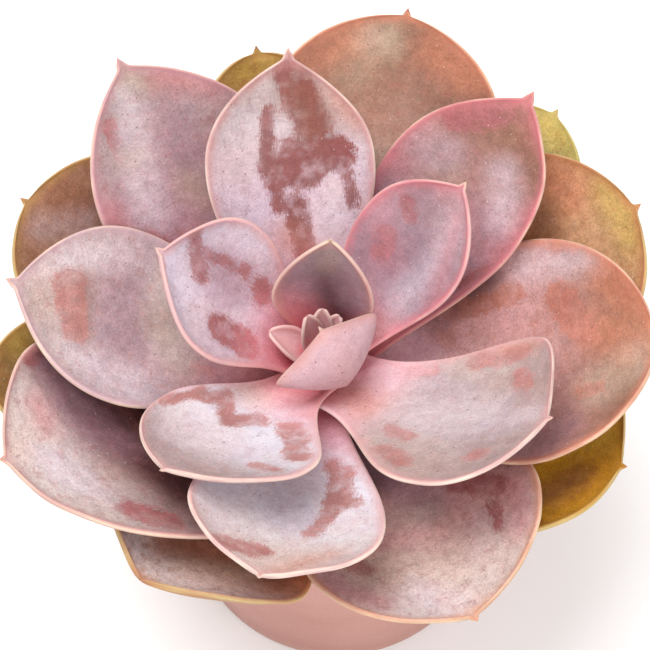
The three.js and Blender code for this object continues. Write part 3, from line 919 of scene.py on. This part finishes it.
def stem_material():
    g = Graph("corky_stem")
    place = g.place()
    rings = g.noise(g.stretched(place, (0.3, 0.3, 1.4)), 0.8, 4, 0.6)
    cracks = g.noise(g.stretched(place, (1.2, 1.2, 0.25)), 1.2, 5, 0.7)
    colour = g.mix(g.between(rings, 0.3, 0.7), srgb(112, 86, 62), srgb(178, 158, 122))
    colour = g.mix(g.between(cracks, 0.35, 0.5, 0.6, 0.0), colour, srgb(78, 56, 42))
    normal = g.bump(g.total(rings, cracks), 0.6, 0.0008)
    return g.finish(Base_Color=colour, Roughness=0.85, Normal=normal)


def pot_material():
    """Satin fired clay: dusty pink, with a fine grain, faint throwing lines, small pits, a paler worn
    lip and water marks near the foot."""
    g = Graph("pot_clay")
    place = g.place()
    height = g.add("ShaderNodeSeparateXYZ")
    g.feed(height.inputs[0], place)
    clouds = g.noise(place, 0.03, 3, 0.5)
    grain = g.noise(place, 2.6, 3, 0.7)
    lines = g.noise(g.stretched(place, (0.02, 0.02, 1.0)), 0.9, 3, 0.6)
    colour = g.mix(g.between(clouds, 0.35, 0.65), srgb(176, 120, 108), srgb(186, 132, 120))
    colour = g.mix(g.between(grain, 0.3, 0.7, 0.0, 0.25), colour, srgb(160, 104, 94))
    colour = g.mix(g.between(lines, 0.45, 0.75, 0.0, 0.16), colour, srgb(196, 146, 134))
    colour = g.mix(g.product(g.specks(place, 0.3, 0.12, 0.3), 0.45), colour, srgb(122, 76, 68))
    worn = g.total(height.outputs[2], g.product(grain, 1.6))
    lip = g.between(worn, POT["height"] - 1.2, POT["height"] + 0.6, 0.0, 0.45)
    colour = g.mix(lip, colour, srgb(214, 172, 158))
    marks = g.total(height.outputs[2], g.product(clouds, 14.0))
    colour = g.mix(g.between(marks, 6.0, 15.0, 0.22, 0.0), colour, srgb(206, 178, 164))
    normal = g.bump(lines, 0.12, 0.0005)
    normal = g.bump(grain, 0.1, 0.0002, normal)
    roughness = g.between(grain, 0.3, 0.7, 0.42, 0.54)
    return g.finish(Base_Color=colour, Roughness=roughness, Normal=normal, Specular_IOR_Level=0.4)


# ---- Pot, soil and stem ----


def wall_radius(height):
    return POT["base_radius"] + (POT["rim_radius"] - POT["base_radius"]) * height / POT["height"]


def turned(profile, sides):
    """A closed solid of revolution about the Z axis. profile is a list of (radius, height) that runs
    from the axis under the solid, up its outside and back to the axis."""
    around = np.arange(sides) * 2 * math.pi / sides
    rings = [
        np.stack([r * np.cos(around), r * np.sin(around), np.full(sides, z, float)], -1)
        for r, z in profile[1:-1]
    ]
    points = np.vstack([*rings, [[0, 0, profile[0][1]]], [[0, 0, profile[-1][1]]]])
    low, high, last = len(points) - 2, len(points) - 1, (len(rings) - 1) * sides
    faces = []
    for j in range(sides):
        k = (j + 1) % sides
        faces += [(low, k, j), (last + j, last + k, high)]
        faces += [(i + j, i + k, i + sides + k, i + sides + j) for i in range(0, last, sides)]
    return points, faces


def rounded(radius, height, size, start, end, steps=5):
    """A rounded corner of a profile, from one angle to another about its middle."""
    angles = np.radians(np.linspace(start, end, steps + 1))
    return [(radius + size * math.cos(a), height + size * math.sin(a)) for a in angles]


def add_pot(material):
    foot, rim, height, floor, corner = (POT[key] for key in ("foot", "rim", "height", "floor", "corner"))
    inner_top, inner_low = POT["rim_radius"] - POT["wall"] + rim, wall_radius(floor) - POT["wall"]
    within, beyond = POT["drain_circle"] - 10, POT["drain_circle"] + 6  # rings on both sides of the drains
    outside = [
        (0, 0), (within, 0), (beyond, 0), *rounded(POT["base_radius"] - foot, foot, foot, -90, 0),
        *rounded(POT["rim_radius"] - rim, height - rim, rim, 0, 90),
    ]
    inside = [
        *rounded(inner_top, height - rim, rim, 90, 180),
        *rounded(inner_low - corner, floor + corner, corner, 0, -90),
        (beyond, floor), (within, floor), (0, floor),
    ]
    piece = add_mesh("pot_body", *turned(outside + inside, 192), material)
    drain = POT["drain_radius"]
    for k in range(POT["drains"]):
        angle = (k + 0.5) * 2 * math.pi / POT["drains"]
        points, faces = turned([(0, -5), (drain, -5), (drain, floor + 5), (0, floor + 5)], 40)
        points += [POT["drain_circle"] * math.cos(angle), POT["drain_circle"] * math.sin(angle), 0]
        cutter = add_mesh("drain", points, faces, material)
        cut = piece.modifiers.new("drain", "BOOLEAN")
        cut.object, cut.solver = cutter, "EXACT"
        shape = bpy.data.meshes.new_from_object(piece.evaluated_get(bpy.context.evaluated_depsgraph_get()))
        piece.modifiers.clear()
        piece.data = shape
        bpy.data.objects.remove(cutter)
    piece.data.set_sharp_from_angle(angle=math.radians(40))
    settle(piece, "pot")


def lumps(x, y, draw):
    """Crumbly unevenness: waves of many lengths that cross each other."""
    height = np.zeros(np.shape(x))
    for length in np.geomspace(20, 1.6, 22):
        heading, phase = draw.uniform(0, 2 * math.pi, 2)
        run = (x * math.cos(heading) + y * math.sin(heading)) / length
        height += np.sin(2 * math.pi * run + phase) * length**0.75
    return height / 14


def soil_height(x, y):
    share = np.hypot(x, y) / wall_radius(SOIL["top"])
    unevenness = SOIL["crumb"] * lumps(x, y, np.random.default_rng(SEED))
    return SOIL["top"] + SOIL["crown"] * (1 - share**2) + unevenness


def add_soil(material):
    low, top = SOIL["low"], SOIL["top"]
    low_radius, edge = (wall_radius(height) - POT["wall"] - SOIL["gap"] for height in (low, top))
    wall = [(low_radius - 4, low), (low_radius - 2, low + 0.6), (low_radius, low + 4), (edge - 0.4, top - 3)]
    surface = [(radius, top) for radius in np.linspace(edge, 0.9, 46)]
    points, faces = turned([(0, low), *wall, *surface, (0, top)], 160)
    upper = points[:, 2] > top - 0.01
    points[upper, 2] = soil_height(points[upper, 0], points[upper, 1])
    settle(add_mesh("soil_bed", points, faces, material), "soil")


def add_grit(material):
    """Angular crumbs of pumice and grit, half sunk in the soil."""
    draw = np.random.default_rng(SEED + 1)
    golden = (1 + 5**0.5) / 2
    signs = [(a, b * golden) for a in (-1, 1) for b in (-1, 1)]
    corners = [(0, a, b) for a, b in signs] + [(a, b, 0) for a, b in signs] + [(b, 0, a) for a, b in signs]
    corners = np.array(corners) / math.hypot(1, golden)
    near = np.linalg.norm(corners[:, None] - corners[None], axis=-1) < 1.1
    triangles = [
        (a, b, c) for a in range(12) for b in range(a + 1, 12) for c in range(b + 1, 12)
        if near[a, b] and near[b, c] and near[a, c]
    ]
    outward = [np.linalg.det(corners[list(t)]) > 0 for t in triangles]
    triangles = [t if ok else t[::-1] for t, ok in zip(triangles, outward)]
    points, faces = [], []
    for _ in range(GRIT["count"]):
        radius, angle = GRIT["spread"] * draw.uniform(0.03, 1) ** 0.5, draw.uniform(0, 2 * math.pi)
        x, y = radius * math.cos(angle), radius * math.sin(angle)
        if math.hypot(x - STEM["x"], y) < GRIT["stem_gap"]:
            continue
        size = draw.uniform(GRIT["least"], GRIT["most"])
        crumb = corners * size * draw.uniform(0.7, 1.25, (12, 1)) * draw.uniform(0.7, 1.2, 3)
        points.append(crumb + [x, y, soil_height(x, y) + size * 0.15])
        faces += [tuple(12 * (len(points) - 1) + i for i in t) for t in triangles]
    settle(add_mesh("soil_grit", np.vstack(points), faces, material, smooth=False), "soil")


def add_stem(material):
    """The short woody stem, ringed with the scars of leaves it has shed."""
    heights = np.linspace(STEM_PROFILE[0][0], STEM["top"], 130)
    radii = np.interp(heights, *zip(*STEM_PROFILE))
    profile = [(0, heights[0]), *zip(radii, heights), (0, STEM["top"])]
    points, faces = turned(profile, 72)
    around = np.arctan2(points[:, 1], points[:, 0])
    radius = np.hypot(points[:, 0], points[:, 1])
    height = points[:, 2]
    scar = np.maximum(np.cos(5 * around + height * 1.9), 0) * np.maximum(np.sin(height * 1.9), 0)
    above_soil = smoothstep(66, 72, height) * (1 - smoothstep(96, 101, height))
    growth = (0.07 * scar + 0.012 * np.sin(height * 4 + around * 2)) * above_soil
    points[:, :2] *= 1 + np.where(radius > 0, growth, 0)[:, None]
    settle(add_mesh("stem_body", points + [STEM["x"], STEM["y"], 0], faces, material), "stem")


# ---- Pieces ----

leaf_materials = {ring: leaf_material(ring) for ring in RINGS}
shapes = make_shapes()
for number, row in enumerate(LEAVES, 1):
    leaf = leaf_from(row, number)
    digits = str(number).zfill(2)
    piece = add_leaf("blade_" + digits, leaf, shapes[number], leaf_materials[leaf["ring"]])
    settle(piece, "leaf_" + digits)

for number, row in enumerate(BUD, 1):
    leaf = leaf_from(row, BUD_NUMBER + number)
    piece = add_leaf("bud_leaf_" + str(number), leaf, leaf_shape(leaf), leaf_materials["bud"])
    settle(piece, "bud")

add_pot(pot_material())
add_soil(soil_material())
add_grit(grit_material())
add_stem(stem_material())

# ---- Floor and light ----

FLOOR = 3000  # half of its side
SKY = 0.6  # how bright the white surroundings are
# Where the middle of each soft light is and how wide it is, in metres, and its power in watts.
SOFTBOXES = {"key": ((-0.3, 0.2, 1.5), 0.9, 21), "fill": ((0.4, -1.0, 1.1), 1.2, 11)}


def add_floor():
    corners = [(-FLOOR, -FLOOR, 0), (FLOOR, -FLOOR, 0), (FLOOR, FLOOR, 0), (-FLOOR, FLOOR, 0)]
    g = Graph("floor_white")
    material = g.finish(Base_Color=(0.97, 0.97, 0.97, 1), Roughness=0.8, Specular_IOR_Level=0.1)
    floor = add_mesh("floor", corners, [(0, 1, 2, 3)], material, smooth=False)


def add_softbox(name, place, size, power):
    data = bpy.data.lights.new(name, "AREA")
    data.shape = "SQUARE"
    data.size = size
    data.energy = power
    light = add_object(name, data)
    light.location = place
    light.rotation_euler = (Vector((0, 0, 0.1)) - Vector(place)).to_track_quat("-Z", "Y").to_euler()


def add_light():
    world = bpy.data.worlds.new("studio")
    world.use_nodes = True
    background = world.node_tree.nodes["Background"]
    background.inputs["Color"].default_value = (1, 1, 1, 1)
    background.inputs["Strength"].default_value = SKY
    bpy.context.scene.world = world
    bpy.context.scene.view_settings.view_transform = "Standard"
    for name, (place, size, power) in SOFTBOXES.items():
        add_softbox(name, place, size, power)


add_floor()
add_light()
